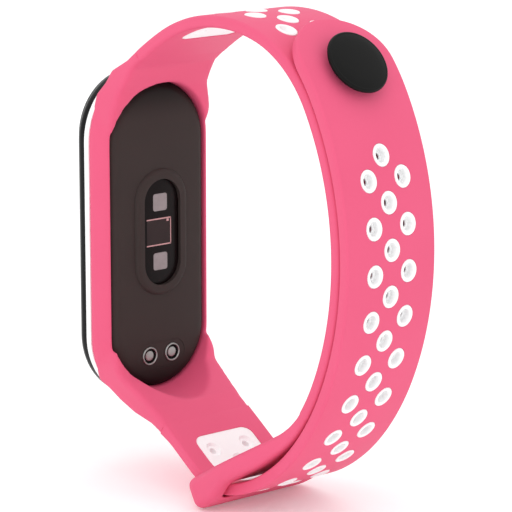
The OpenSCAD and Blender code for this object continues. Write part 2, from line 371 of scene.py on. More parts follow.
def finish_piece(bm, name, finish, body, replaces=(), angle=35):
    """Turns a bmesh in millimetres into a finished piece that rides on a body."""
    bmesh.ops.remove_doubles(bm, verts=bm.verts, dist=1e-4)
    loose = [v for v in bm.verts if not v.link_faces]
    bmesh.ops.delete(bm, geom=loose, context="VERTS")
    bmesh.ops.recalc_face_normals(bm, faces=bm.faces)
    bmesh.ops.scale(bm, vec=(MM, MM, MM), verts=bm.verts)
    mesh = bpy.data.meshes.new(name)
    bm.to_mesh(mesh)
    bm.free()
    mesh.shade_smooth()
    mesh.set_sharp_from_angle(angle=math.radians(angle))
    mesh.materials.append(finish)
    obj = bpy.data.objects.new(name, mesh)
    bpy.context.scene.collection.objects.link(obj)
    if body:
        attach(obj, body)
    if replaces:
        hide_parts(*replaces)
    return obj


# ---- Finishes ----


def group_socket(group, name, direction, kind, value=None):
    """Adds a named socket to a node group."""
    socket = group.interface.new_socket(name=name, in_out=direction, socket_type=kind)
    if value is not None:
        socket.default_value = value
    return socket


def moulded_grain():
    """Fine spark-eroded grain with slow patches: a shade from 0 to 1 and a bump height."""
    name = "Moulded grain"
    if name in bpy.data.node_groups:
        return bpy.data.node_groups[name]
    group = bpy.data.node_groups.new(name, "ShaderNodeTree")
    group_socket(group, "Vector", "INPUT", "NodeSocketVector")
    group_socket(group, "Grain scale", "INPUT", "NodeSocketFloat", 3000.0)
    group_socket(group, "Patch scale", "INPUT", "NodeSocketFloat", 90.0)
    group_socket(group, "Shade", "OUTPUT", "NodeSocketFloat")
    group_socket(group, "Height", "OUTPUT", "NodeSocketFloat")
    nodes = group.nodes
    link = group.links.new
    entry = nodes.new("NodeGroupInput")
    leave = nodes.new("NodeGroupOutput")
    grain = nodes.new("ShaderNodeTexNoise")
    grain.inputs["Detail"].default_value = 3.0
    patch = nodes.new("ShaderNodeTexNoise")
    patch.inputs["Detail"].default_value = 2.0
    mix = nodes.new("ShaderNodeMath")
    mix.operation = "MULTIPLY_ADD"
    mix.inputs[1].default_value = 0.25
    half = nodes.new("ShaderNodeMath")
    half.operation = "MULTIPLY"
    half.inputs[1].default_value = 0.75
    link(entry.outputs["Vector"], grain.inputs["Vector"])
    link(entry.outputs["Vector"], patch.inputs["Vector"])
    link(entry.outputs["Grain scale"], grain.inputs["Scale"])
    link(entry.outputs["Patch scale"], patch.inputs["Scale"])
    link(patch.outputs["Fac"], half.inputs[0])
    link(grain.outputs["Fac"], mix.inputs[0])
    link(half.outputs[0], mix.inputs[2])
    link(mix.outputs[0], leave.inputs["Shade"])
    link(grain.outputs["Fac"], leave.inputs["Height"])
    return group


def linear(colour):
    """Screen colour, 0 to 255, as scene-linear."""
    out = []
    for c in colour:
        c = c / 255
        out.append(c / 12.92 if c <= 0.04045 else ((c + 0.055) / 1.055) ** 2.4)
    return (*out, 1.0)


def painted_end_shade(tree, where, colour, start, stop):
    """Paints shade into a colour: darker towards the tracker's ends, between two distances from the middle
    along it.
    """
    nodes = tree.nodes
    link = tree.links.new
    parts = nodes.new("ShaderNodeSeparateXYZ")
    away = nodes.new("ShaderNodeMath")
    away.operation = "ABSOLUTE"
    # Painted shade: up to 0.85 of the way to near-black at the ends.
    ramp = nodes.new("ShaderNodeMapRange")
    ramp.interpolation_type = "SMOOTHSTEP"
    ramp.inputs["From Min"].default_value = start
    ramp.inputs["From Max"].default_value = stop
    ramp.inputs["To Max"].default_value = 0.85
    mix = nodes.new("ShaderNodeMix")
    mix.data_type = "RGBA"
    # Near-black colour of the painted shade.
    mix.inputs["B"].default_value = linear((10, 9, 9))
    link(where, parts.inputs["Vector"])
    link(parts.outputs["Z"], away.inputs[0])
    link(away.outputs[0], ramp.inputs["Value"])
    link(ramp.outputs["Result"], mix.inputs["Factor"])
    link(colour, mix.inputs["A"])
    return mix.outputs["Result"]


def grained_finish(
    name,
    dark,
    light,
    rough=(0.45, 0.6),
    bump=0.05,
    grain=3000.0,
    patch=90.0,
    metal=0.0,
    coat=0.0,
    specular=0.5,
    ends=None,
):
    """A moulded or cast material whose colour and gloss vary a little over the surface; given ends, painted
    shade darkens it towards the tracker's ends.
    """
    mat = bpy.data.materials.new(name)
    mat.use_nodes = True
    nodes = mat.node_tree.nodes
    link = mat.node_tree.links.new
    shader = nodes["Principled BSDF"]
    where = nodes.new("ShaderNodeTexCoord")
    texture = nodes.new("ShaderNodeGroup")
    texture.node_tree = moulded_grain()
    texture.inputs["Grain scale"].default_value = grain
    texture.inputs["Patch scale"].default_value = patch
    tint = nodes.new("ShaderNodeMix")
    tint.data_type = "RGBA"
    tint.inputs["A"].default_value = linear(dark)
    tint.inputs["B"].default_value = linear(light)
    gloss = nodes.new("ShaderNodeMapRange")
    gloss.inputs["To Min"].default_value = rough[0]
    gloss.inputs["To Max"].default_value = rough[1]
    relief = nodes.new("ShaderNodeBump")
    relief.inputs["Strength"].default_value = bump
    relief.inputs["Distance"].default_value = 0.0001
    link(where.outputs["Object"], texture.inputs["Vector"])
    link(texture.outputs["Shade"], tint.inputs["Factor"])
    link(texture.outputs["Shade"], gloss.inputs["Value"])
    link(texture.outputs["Height"], relief.inputs["Height"])
    colour = tint.outputs["Result"]
    # Painted shade towards the tracker's ends.
    if ends:
        colour = painted_end_shade(mat.node_tree, where.outputs["Object"], colour, *ends)
    link(colour, shader.inputs["Base Color"])
    link(gloss.outputs["Result"], shader.inputs["Roughness"])
    link(relief.outputs["Normal"], shader.inputs["Normal"])
    shader.inputs["Metallic"].default_value = metal
    shader.inputs["Specular IOR Level"].default_value = specular
    if coat:
        shader.inputs["Coat Weight"].default_value = coat
        shader.inputs["Coat Roughness"].default_value = 0.05
    return mat


FINISHES = {}


def finish(name):
    """The named finish, made when it is first asked for."""
    if name in FINISHES:
        return FINISHES[name]
    recipes = {
        "pink_silicone": dict(
            dark=(226, 86, 123), light=(233, 95, 132),
            rough=(0.5, 0.62), bump=0.06, specular=0.25,
        ),
        "white_silicone": dict(
            dark=(248, 248, 249), light=(255, 255, 255),
            rough=(0.45, 0.6), bump=0.04, specular=0.3,
        ),
        "white_plastic": dict(dark=(247, 247, 248), light=(255, 255, 255), rough=(0.3, 0.4), bump=0.02),
        "black_metal": dict(
            dark=(12, 12, 12), light=(18, 18, 17),
            rough=(0.36, 0.44), bump=0.02, specular=0.12,
        ),
        # The housing gets painted shade towards its ends, from 16.5 mm to 22.5 mm off the middle.
        "housing": dict(
            dark=(52, 44, 43), light=(62, 53, 51),
            rough=(0.5, 0.6), bump=0.05, grain=5000.0, specular=0.12, ends=(0.0165, 0.0225),
        ),
        "dark_lens": dict(dark=(12, 8, 9), light=(28, 20, 20), rough=(0.2, 0.3), bump=0.0, specular=0.1),
        "board": dict(dark=(20, 62, 38), light=(34, 88, 56), rough=(0.35, 0.5), grain=2500.0, patch=600.0),
        "led_package": dict(
            dark=(128, 120, 121), light=(160, 152, 153),
            rough=(0.4, 0.6), grain=2400.0, patch=900.0, specular=0.2,
        ),
        "sensor_die": dict(
            dark=(36, 27, 28), light=(58, 46, 46),
            rough=(0.3, 0.4), bump=0.0, patch=260.0, specular=0.12,
        ),
        "rose_trace": dict(
            dark=(170, 120, 122), light=(214, 166, 166),
            rough=(0.3, 0.45), bump=0.0, patch=700.0,
        ),
        "black_plastic": dict(dark=(22, 22, 24), light=(34, 34, 36), rough=(0.35, 0.5), bump=0.04),
        "contact_metal": dict(
            dark=(120, 118, 117), light=(170, 168, 166),
            rough=(0.3, 0.42), bump=0.03, metal=1.0,
        ),
        "seal_rubber": dict(dark=(16, 14, 14), light=(26, 23, 23), rough=(0.55, 0.7), specular=0.1),
        "gold_spring": dict(dark=(190, 150, 70), light=(224, 186, 104), rough=(0.2, 0.3), metal=1.0),
        "battery_foil": dict(
            dark=(170, 174, 178), light=(206, 208, 210),
            rough=(0.3, 0.45), metal=0.9, patch=400.0,
        ),
        "chip": dict(dark=(30, 30, 32), light=(46, 46, 48), rough=(0.45, 0.6), grain=6000.0),
        "shield_tin": dict(
            dark=(168, 170, 170), light=(206, 208, 208),
            rough=(0.25, 0.4), metal=1.0, patch=500.0,
        ),
        "flex_film": dict(dark=(186, 126, 52), light=(222, 164, 88), rough=(0.25, 0.35), patch=300.0),
        "tungsten": dict(dark=(84, 80, 76), light=(124, 118, 112), rough=(0.4, 0.55), metal=1.0),
        "display": dict(dark=(8, 8, 14), light=(16, 16, 26), rough=(0.1, 0.16), bump=0.0),
        "black_glass": dict(dark=(6, 6, 7), light=(11, 11, 13), rough=(0.2, 0.3), bump=0.0, specular=0.08),
    }
    FINISHES[name] = grained_finish(name.replace("_", " ").capitalize(), **recipes[name])
    return FINISHES[name]


# ---- Straps ----


def flat_strap(s0, s1, half_w, low, high, edge, end_corners=(0.0, 0.0)):
    """A flat strap with rounded long edges, and round corners at either end if asked."""
    reach = [0 if r else 3.0 for r in end_corners]
    bm = box((s0 - reach[0], -half_w, low), (s1 + reach[1], half_w, high))
    for s, radius in ((s0, end_corners[0]), (s1, end_corners[1])):
        if radius:
            here = edges_along(bm, 2, lambda co, s=s: abs(co.x - s) < 0.01)
            round_edges(bm, here, radius, 16)
    round_edges(bm, rim(bm, 2, low) + rim(bm, 2, high), edge, 4)
    if reach[0]:
        trim(bm, Vector((s0, 0, 0)), Vector((-1, 0, 0)))
    if reach[1]:
        trim(bm, Vector((s1, 0, 0)), Vector((1, 0, 0)))
    return bm


def perforation_places(first, pitch, rows, side, skip=None):
    """Stations (s, y): one hole in the middle, then a pair half a pitch further on."""
    places = []
    for k in rows:
        if k != skip:
            places.append((first + k * pitch, 0.0))
        for y in (-side, side):
            places.append((first + (k + 0.5) * pitch, y))
    return places


def pegs(places, long_r, side_r, low, high, steps=28):
    """Oval pegs that stand through a flat strap."""
    bm = bmesh.new()
    for s, y in places:
        middle = Matrix.Translation((s, y, (low + high) / 2))
        place = middle @ Matrix.Diagonal((long_r, side_r, high - low, 1))
        bmesh.ops.create_cone(bm, cap_ends=True, segments=steps, radius1=1, radius2=1, depth=1, matrix=place)
    return bm


def eyelet(bore, outer, low, face):
    """One white eyelet: a cup with a small hole in its bottom and a softly rolled rim, as a lathe about z."""
    lip = 0.12
    profile = [
        (bore * 0.55, low),
        (bore * 0.55, face - 1.0),
        (bore * 0.88, face - 0.95),
        (bore * 0.95, face - 0.4),
        (bore, face),
        (bore + 0.08, face + lip * 0.8),
        (bore + 0.22, face + lip + 0.02),
        (outer - 0.18, face + lip),
        (outer - 0.05, face + lip * 0.6),
        (outer, face - 0.04),
        (outer, low),
    ]
    return lathe(profile, 28)


def lined(places, window, sizes, face_sign):
    """White lining plate with its eyelets, flat. face_sign is 1 where the track is the inner face."""
    lining_t = 0.55
    s0, s1 = window
    half_w = 5.1
    inner = 0.0 if face_sign > 0 else -STRAP_T
    plate = flat_strap(s0, s1, half_w, inner + 0.1, inner + lining_t, 0.05, (1.6, 1.6))
    bore_side = sizes.eyelet_bore * 1000 * 0.6
    bore_long = bore_side * 1.12
    plate = boolean(plate, pegs(places, bore_long, bore_side, inner - 1, inner + 2), "DIFFERENCE")
    mouths = bmesh.new()
    for s, y in places:
        place = Matrix.Translation((s, y, inner + 0.15)) @ Matrix.Diagonal((1.15, 1.0, 1, 1))
        bmesh.ops.create_cone(
            mouths, cap_ends=True, segments=28, radius1=1.3, radius2=bore_side * 1.5, depth=0.8, matrix=place
        )
    plate = boolean(plate, mouths, "DIFFERENCE")
    ring_r = sizes.eyelet_radius * 1000
    for s, y in places:
        one = eyelet(sizes.eyelet_bore * 1000, ring_r, inner + lining_t - 0.05, inner + STRAP_T)
        place = Matrix.Translation((s, y, 0)) @ Matrix.Diagonal((1.12, 1.0, 1, 1))
        merge_in(plate, one, place)
    return plate


def strap_with_holes(bm, places, window, sizes, face_sign):
    """Cuts the perforations and the lining's window into a flat strap."""
    inner = 0.0 if face_sign > 0 else -STRAP_T
    ring_r = sizes.eyelet_radius * 1000 + 0.02
    bm = boolean(bm, pegs(places, ring_r * 1.12, ring_r, inner - 1, inner + STRAP_T + 1), "DIFFERENCE")
    bed = box((window[0], -5.12, inner - 1), (window[1], 5.12, inner + 0.6))
    round_edges(bed, edges_along(bed, 2), 1.62, 10)
    return boolean(bm, bed, "DIFFERENCE")


def hole_places():
    """The hole strap's perforations."""
    return perforation_places(HOLE_STUD_S, HOLE_PITCH, range(-7, 5), 2.98)


def stud_places():
    """The stud strap's perforations; its rows stand a little closer near the root."""
    places = []
    for away, y in perforation_places(0.0, STUD_PITCH, range(0, 12), 2.98):
        s = STUD_ROW_S - away
        places.append((s + max(0.0, CLOSE_S - s) * CLOSE_PART, y))
    return places


class TrackerSizes(bpy.types.PropertyGroup):
    """Sizes a user would change."""

    strap_half_width: bpy.props.FloatProperty(
        name="Strap half width",
        description="Half the width of both straps",
        default=0.0078,
        unit="LENGTH",
        subtype="DISTANCE",
    )
    strap_edge: bpy.props.FloatProperty(
        name="Strap edge radius",
        description="How round the long edges of the straps are",
        default=0.0006,
        unit="LENGTH",
        subtype="DISTANCE",
    )
    eyelet_radius: bpy.props.FloatProperty(
        name="Eyelet radius",
        description="Outer radius of each white ring across the strap",
        default=0.00139,
        unit="LENGTH",
        subtype="DISTANCE",
    )
    eyelet_bore: bpy.props.FloatProperty(
        name="Eyelet bore",
        description="Radius of the hole in each white ring across the strap",
        default=0.0009,
        unit="LENGTH",
        subtype="DISTANCE",
    )
    skin_voxel: bpy.props.FloatProperty(
        name="Moulded skin detail",
        description="Grid size of the soft moulded parts",
        default=0.0003,
        unit="LENGTH",
        subtype="DISTANCE",
    )


class TrackerStage(bpy.types.PropertyGroup):
    """Camera settings a user would change."""

    azimuth: bpy.props.FloatProperty(
        name="Camera azimuth",
        description="Where the camera stands round the band",
        default=math.radians(49.6),
        unit="ROTATION",
        subtype="ANGLE",
    )
    elevation: bpy.props.FloatProperty(
        name="Camera elevation",
        description="How far the camera is above the band's middle",
        default=math.radians(12.25),
        unit="ROTATION",
        subtype="ANGLE",
    )
    distance: bpy.props.FloatProperty(
        name="Camera distance",
        description="From the camera to the point it looks at",
        default=0.38,
        unit="LENGTH",
        subtype="DISTANCE",
    )
    focal_length: bpy.props.FloatProperty(
        name="Focal length", description="Camera lens in millimetres", default=194.2
    )


def sizes():
    """The sizes as the user set them."""
    return bpy.context.scene.tracker_sizes


# ---- Pink strap parts ----


def root_widened(bm, half_w):
    """Spreads the strap's root towards the frame's full width."""
    slice_along(bm, 2, min(v.co.z for v in bm.verts), max(v.co.z for v in bm.verts), 0.8)
    fade_out = 24.0
    fade_in = 12.5
    most = 1.3
    for v in bm.verts:
        height = abs(v.co.z)
        spread = eased((fade_out - height) / 7.0) * eased((height - fade_in) / 5.5)
        v.co.y *= 1 + spread * most / half_w


def tapered_ring(bm):
    """Draws the frame's outside in towards its wrist side."""
    slice_along(bm, 0, BACK_X - 3.6, BACK_X + 0.1, 0.4)
    straight = 13.9
    taper_start = BACK_X - 3.4
    taper_length = 3.5
    inset = 1.45
    for v in bm.verts:
        spine = max(-straight, min(straight, v.co.z))
        off = Vector((v.co.y, v.co.z - spine))
        if off.length > 1:
            depth = min(1.0, max(0.0, (v.co.x - taper_start) / taper_length))
            off *= 1 - inset * depth**1.8 / off.length
            v.co.y = off.x
            v.co.z = spine + off.y
    return bm


def root_swell(s):
    """How much thicker, outwards, the stud strap is near the frame."""
    over = max(0.0, ROOT_SWELL_S - s)
    return ROOT_RISE * over * over / (over + 1.0)


def swollen(bm):
    """Thickens a flat piece of the stud strap towards its root."""
    for v in bm.verts:
        part = (v.co.z + STRAP_T) / STRAP_T
        v.co.z += root_swell(v.co.x) * part


def carrier_skin():
    """The soft frame that holds the tracker, with both strap roots moulded on."""
    half_w = sizes().strap_half_width * 1000 + 0.1
    edge = sizes().strap_edge * 1000
    rough = tapered_ring(stadium_block(BACK_X - 3.3, BACK_X + 0.1, 20.4, 48.6, low=0.3, steps=24))
    top = track_point(HOLE_TRACK, HOLE_ROOT_S, 0)
    top_out = track_point(HOLE_TRACK, HOLE_ROOT_S, STRAP_T)
    upper = prism(
        [
            (BACK_X - 3.8, 12),
            (BACK_X + 0.5, 16),
            (BACK_X + 1.4, 21.5),
            (top.x, top.z),
            (top_out.x, top_out.z),
            (BACK_X - 1, 24.6),
            (BACK_X - 2.2, 22.8),
            (BACK_X - 3.8, 21),
        ],
        half_w,
    )
    low_in = track_point(STUD_TRACK, STUD_ROOT_S, -STRAP_T)
    low_out = track_point(STUD_TRACK, STUD_ROOT_S, root_swell(STUD_ROOT_S))
    lower = prism(
        [
            (BACK_X - 3.8, -12),
            (BACK_X - 3.8, -20.8),
            (BACK_X - 1.6, -21.8),
            (BACK_X + 0.5, -23.1),
            (BACK_X + 3.6, -24.3),
            (low_out.x, low_out.z),
            (low_in.x, low_in.z),
            (BACK_X + 2.2, -19),
            (BACK_X + 0.5, -15),
        ],
        half_w,
    )
    for part in (upper, lower):
        round_edges(part, rim(part, 1, -half_w) + rim(part, 1, half_w), edge, 3)
        root_widened(part, half_w)
        rough = boolean(rough, part, "UNION")
    stub_top = flat_strap(HOLE_ROOT_S - 3.5, HOLE_ROOT_S + 1.0, half_w, 0, STRAP_T, edge)
    slice_along(stub_top, 0, HOLE_ROOT_S - 3.5, HOLE_ROOT_S + 1.0, 0.9)
    bend(stub_top, HOLE_TRACK)
    rough = boolean(rough, stub_top, "UNION")
    stub_low = flat_strap(STUD_ROOT_S - 1.0, STUD_ROOT_S + 3.5, half_w, -STRAP_T, 0, edge)
    slice_along(stub_low, 0, STUD_ROOT_S - 1.0, STUD_ROOT_S + 3.5, 0.9)
    swollen(stub_low)
    bend(stub_low, STUD_TRACK)
    rough = boolean(rough, stub_low, "UNION")
    rough = boolean(rough, stadium_block(BACK_X - 1.4, BACK_X + 8, 17.2, 44.8, steps=24), "DIFFERENCE")
    rough = boolean(rough, stadium_block(BACK_X - 8, BACK_X - 1.3, 16.9, 44.5, steps=24), "DIFFERENCE")
    skin = moulded(rough, sizes().skin_voxel * 1000, 5)
    for track, s, way in ((HOLE_TRACK, HOLE_ROOT_S - 2.5, -1), (STUD_TRACK, STUD_ROOT_S + 2.5, 1)):
        x, z, h = on_track(track, s)
        trim(skin, Vector((x, 0, z)), Vector((way * math.cos(h), 0, way * math.sin(h))))
    return skin


class TRACKER_OT_carrier(bpy.types.Operator):
    """Makes the soft frame round the tracker"""

    bl_idname = "tracker.carrier"
    bl_label = "Carrier frame"

    def execute(self, context):
        skin = carrier_skin()
        pink = finish("pink_silicone")
        finish_piece(skin, "carrier_skin", pink, "band", ["carrier_frame"], 60)
        return {"FINISHED"}


def passage(s_lo, s_hi, d_lo, d_hi, x_limit, keep_low):
    """Room for the stud strap where it crosses the keeper loop."""
    half_w = sizes().strap_half_width * 1000 + 0.4
    bm = box((s_lo, -half_w, d_lo), (s_hi, half_w, d_hi))
    round_edges(bm, edges_along(bm, 0), 0.5, 3)
    slice_along(bm, 0, s_lo, s_hi, 1.0)
    bend(bm, STUD_TRACK)
    way = 1 if keep_low else -1
    trim(bm, Vector((x_limit, 0, 0)), Vector((way, 0, 0)))
    return bm


def keeper_skin():
    """The flared end of the hole strap, with the slot that the stud strap goes through."""
    half_w = sizes().strap_half_width * 1000
    loop_half = 10.3
    loop_t = 4.5
    end_s = HOLE_END_S - 1.5
    nose = 2.7
    bm = flat_strap(end_s, FLARE_S + 3, half_w, 0, loop_t, 1.0, (3.4, 0.0))
    slice_along(bm, 0, end_s, FLARE_S + 3, 0.5)
    thin = STRAP_T / loop_t
    for v in bm.verts:
        along = max(0.0, (FLARE_S - v.co.x) / (FLARE_S - end_s))
        wide = eased(along / 0.72)
        v.co.y *= 1 + wide * (loop_half / half_w - 1)
        near_end = max(0.0, nose - (v.co.x - end_s)) / nose
        round_off = math.sqrt(max(0.02, 1 - near_end**2))
        v.co.z = loop_t / 2 + (v.co.z - loop_t / 2) * round_off
        rails = 0.4 * eased(along / 0.45)
        bulb = 0.6 * eased((along - 0.62) / 0.2)
        v.co.z *= thin + (1 - thin) * (rails + bulb)
    bend(bm, HOLE_TRACK)
    gap = 0.3
    slot_x = 2.0
    root = STUD_ROOT_S + 1
    bm = boolean(bm, passage(root, 1.0, -9.0, gap, slot_x, True), "DIFFERENCE")
    bm = boolean(bm, passage(root, 8.0, -STRAP_T - gap, 6.0, slot_x - 0.02, False), "DIFFERENCE")
    skin = moulded(bm, sizes().skin_voxel * 1000 * 0.9, 5)
    x, z, h = on_track(HOLE_TRACK, FLARE_S)
    trim(skin, Vector((x, 0, z)), Vector((math.cos(h), 0, math.sin(h))))
    return skin


class TRACKER_OT_keeper(bpy.types.Operator):
    """Makes the keeper loop at the end of the hole strap"""

    bl_idname = "tracker.keeper"
    bl_label = "Keeper loop"

    def execute(self, context):
        pink = finish("pink_silicone")
        finish_piece(keeper_skin(), "keeper_loop", pink, "band", (), 60)
        return {"FINISHED"}


class TRACKER_OT_hole_strap(bpy.types.Operator):
    """Makes the perforated strap that lies against the wrist"""

    bl_idname = "tracker.hole_strap"
    bl_label = "Hole strap"

    def execute(self, context):
        half_w = sizes().strap_half_width * 1000
        edge = sizes().strap_edge * 1000
        s1 = HOLE_ROOT_S - 2.5
        bm = flat_strap(FLARE_S, s1, half_w, 0, STRAP_T, edge)
        bm = strap_with_holes(bm, hole_places(), HOLE_LINING, sizes(), 1)
        slice_along(bm, 0, FLARE_S, s1, 0.8)
        bend(bm, HOLE_TRACK)
        finish_piece(
            bm, "hole_strap_skin", finish("pink_silicone"), "band", ["hole_strap"]
        )
        return {"FINISHED"}


class TRACKER_OT_stud_strap(bpy.types.Operator):
    """Makes the outer strap with its rounded tip"""

    bl_idname = "tracker.stud_strap"
    bl_label = "Stud strap"

    def execute(self, context):
        half_w = sizes().strap_half_width * 1000
        edge = sizes().strap_edge * 1000
        s0 = STUD_ROOT_S + 2.5
        bm = flat_strap(s0, TIP_S, half_w, -STRAP_T, 0, edge, (0.0, half_w * 0.999))
        bm = strap_with_holes(bm, stud_places(), STUD_LINING, sizes(), -1)
        slice_along(bm, 0, s0, TIP_S, 0.8)
        swollen(bm)
        bend(bm, STUD_TRACK)
        pink = finish("pink_silicone")
        stood_for = ["stud_strap", "stud_strap_tip"]
        obj = finish_piece(bm, "stud_strap_skin", pink, None, stood_for)
        a = track_point(STUD_TRACK, HINGE_S - 0.2, 0) * MM
        b = track_point(STUD_TRACK, HINGE_S + 4.0, 0) * MM
        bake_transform(obj)
        return {"FINISHED"}


class TRACKER_OT_linings(bpy.types.Operator):
    """Makes the white linings and eyelets of both straps"""

    bl_idname = "tracker.linings"
    bl_label = "Linings"

    def execute(self, context):
        bm = lined(hole_places(), HOLE_LINING, sizes(), 1)
        slice_along(bm, 0, HOLE_LINING[0], HOLE_LINING[1], 1.0)
        bend(bm, HOLE_TRACK)
        finish_piece(
            bm, "hole_lining_skin", finish("white_silicone"), "band", ["hole_strap_lining"]
        )
        bm = lined(stud_places(), STUD_LINING, sizes(), -1)
        slice_along(bm, 0, STUD_LINING[0], STUD_LINING[1], 1.0)
        bend(bm, STUD_TRACK)
        finish_piece(
            bm, "stud_lining_skin", finish("white_silicone"), "band", ["stud_strap_lining"]
        )
        return {"FINISHED"}


class TRACKER_OT_stud(bpy.types.Operator):
    """Makes the black snap stud"""

    bl_idname = "tracker.stud"
    bl_label = "Snap stud"

    def execute(self, context):
        r = 4.62
        profile = [
            (0.0, 0.0),
            (r - 1.5, 0.0),
            (r - 1.45, 0.7),
            (r - 0.5, 0.85),
            (r - 0.15, 0.98),
            (r, 1.2),
            (r - 0.02, 1.4),
            (r - 0.12, 1.56),
            (r - 0.3, 1.66),
            (r - 0.36, 1.64),
            (r - 0.5, 1.68),
            (r - 1.5, 1.8),
            (r - 3.0, 1.87),
            (0.0, 1.9),
        ]
        bm = lathe(profile, 64)
        bmesh.ops.transform(bm, matrix=standing_on(STUD_TRACK, STUD_S), verts=bm.verts)
        finish_piece(bm, "stud_dome", finish("black_metal"), "strap_tip", ["stud_cap"], 50)
        return {"FINISHED"}


# ---- Tracker ----


def crowned(bm, side_x, rise, half_w, half_l, away):
    """Lifts the side at side_x into a shallow crown that ends at the block's stadium outline."""
    slice_along(bm, 2, -half_l, half_l, 1.0)
    slice_along(bm, 1, -half_w, half_w, 0.9)
    for v in bm.verts:
        near = max(0.0, 1 - abs(v.co.x - side_x) / 2.0)
        z_over = max(0.0, abs(v.co.z) - (half_l - half_w))
        r = min(1.0, math.hypot(v.co.y, z_over) / half_w)
        v.co.x += away * rise * (1 - r**2.2) * near
    return bm


class TRACKER_OT_tracker_case(bpy.types.Operator):
    """Makes the tracker's rear housing, rims and glass"""

    bl_idname = "tracker.case"
    bl_label = "Tracker case"

    def execute(self, context):
        w, l = 17.2, 44.8
        shell = stadium_block(BACK_X - 4.3, BACK_X, w, l, high=1.5, steps=20, soft=8)
        shell = crowned(shell, BACK_X, 0.4, w / 2, l / 2, 1)
        hollow = stadium_block(BACK_X - 6, BACK_X - 0.9, w - 1.8, l - 1.8, steps=16)
        shell = boolean(shell, hollow, "DIFFERENCE")
        shell = boolean(shell, stadium_block(BACK_X - 2, BACK_X + 2, 6.5, 15.5, z=0.65), "DIFFERENCE")
        for y in (-2.05, 2.05):
            hole = stadium_block(BACK_X - 3, BACK_X + 3, 2.7, 2.7, y=y, z=-17.45, steps=8)
            shell = boolean(shell, hole, "DIFFERENCE")
        pad = stadium_block(BACK_X + 0.2, BACK_X + 3, 8.7, 4.0, z=-17.45, steps=10)
        shell = boolean(shell, pad, "DIFFERENCE")
        finish_piece(shell, "rear_shell", finish("housing"), "tracker", ["rear_housing"], 30)

        mound = stadium_block(BACK_X - 0.2, BACK_X + 0.85, 9.4, 18.6, high=0.75, z=0.65, steps=16, soft=7)
        window = stadium_block(BACK_X - 2, BACK_X + 3, 6.5, 15.5, z=0.65, steps=16)
        mound = boolean(mound, window, "DIFFERENCE")
        finish_piece(mound, "sensor_surround", finish("housing"), "tracker", (), 30)

        ring = stadium_block(BACK_X - 4.3, BACK_X - 3.2, 20.2, 48.5, low=0.2, steps=20)
        ring = boolean(ring, stadium_block(BACK_X - 8, BACK_X, 18.0, 47.1, steps=20), "DIFFERENCE")
        white = finish("white_plastic")
        finish_piece(ring, "trim_ring_skin", white, "band", ["trim_ring"], 40)

        glass = stadium_block(BACK_X - 6.3, BACK_X - 3.9, 20.0, 48.3, low=1.3, steps=24, soft=6)
        glass = crowned(glass, BACK_X - 6.3, 2.2, 10.0, 24.15, -1)
        black = finish("black_glass")
        finish_piece(glass, "glass_skin", black, "tracker", ["front_glass"], 40)
        return {"FINISHED"}


class TRACKER_OT_sensor(bpy.types.Operator):
    """Makes the sensor window with its light sources and photodiode"""

    bl_idname = "tracker.sensor"
    bl_label = "Sensor window"

    def execute(self, context):
        face = BACK_X + 0.3
        lens = stadium_block(BACK_X - 0.4, face, 6.45, 15.45, high=0.12, z=0.65, steps=16, soft=3)
        finish_piece(lens, "window_lens", finish("dark_lens"), "tracker", ["sensor_lens"], 40)
        tiles = bmesh.new()
        for z in (4.96, -3.67):
            tile = stadium_block(face - 0.05, face + 0.02, 2.5, 2.5, y=-0.05, z=z, corner=0.35, steps=4)
            merge_in(tiles, tile)
        finish_piece(tiles, "led_tiles", finish("led_package"), "tracker", ["sensor_leds"], 40)
        marks = bmesh.new()
        for z in (4.96, -3.67):
            for half, t in ((0.9, 0.1), (0.4, 0.18)):
                mark = stadium_block(face, face + 0.03, 2 * half, 2 * half, y=-0.05, z=z, corner=0.2, steps=3)
                inside = 2 * (half - t)
                cut = stadium_block(face - 1, face + 1, inside, inside, y=-0.05, z=z, corner=0.1, steps=3)
                merge_in(marks, boolean(mark, cut, "DIFFERENCE"))
        finish_piece(marks, "led_marks", finish("sensor_die"), "tracker", (), 40)
        die = stadium_block(face - 0.05, face + 0.012, 4.3, 3.6, y=-0.3, z=0.65, corner=0.1, steps=2)
        finish_piece(die, "photodiode_die", finish("sensor_die"), "tracker", ["photodiode"], 40)
        traces = bmesh.new()
        for z, half_y in ((2.55, 2.2), (-1.25, 2.2)):
            low = (face - 0.02, -0.3 - half_y, z - 0.09)
            high = (face + 0.03, -0.3 + half_y, z + 0.09)
            merge_in(traces, box(low, high))
        merge_in(traces, box((face - 0.02, 1.78, -1.3), (face + 0.03, 1.92, 2.6)))
        merge_in(traces, box((face - 0.02, 1.1, 2.05), (face + 0.035, 1.5, 2.4)))
        finish_piece(traces, "photodiode_traces", finish("rose_trace"), "tracker", (), 40)
        return {"FINISHED"}


class TRACKER_OT_contacts(bpy.types.Operator):
    """Makes the charging contacts and their seals"""

    bl_idname = "tracker.contacts"
    bl_label = "Charging contacts"

    def execute(self, context):
        pins = bmesh.new()
        seals = bmesh.new()
        for y in (-2.05, 2.05):
            place = Matrix.Translation((0, y, -17.45)) @ facing_x(BACK_X)
            profile = [(0, -1.6), (0.7, -1.6), (0.78, 0.05), (0.72, 0.16), (0.55, 0.2), (0, 0.16)]
            merge_in(pins, lathe(profile, 32), place)
            ring = [(1.08, -1.2), (1.34, -1.2), (1.34, 0.3), (1.27, 0.38), (1.15, 0.38), (1.08, 0.3)]
            merge_in(pins, lathe(ring, 32), place)
            seal = [(0.7, -1.2), (1.12, -1.2), (1.12, -0.02), (0.74, -0.02)]
            merge_in(seals, lathe(seal, 32), place)
        metal = finish("contact_metal")
        rubber = finish("seal_rubber")
        finish_piece(pins, "contact_pins", metal, "tracker", ["charge_pins"], 30)
        finish_piece(seals, "contact_seals", rubber, "tracker", ["charge_pin_seals"], 30)
        return {"FINISHED"}


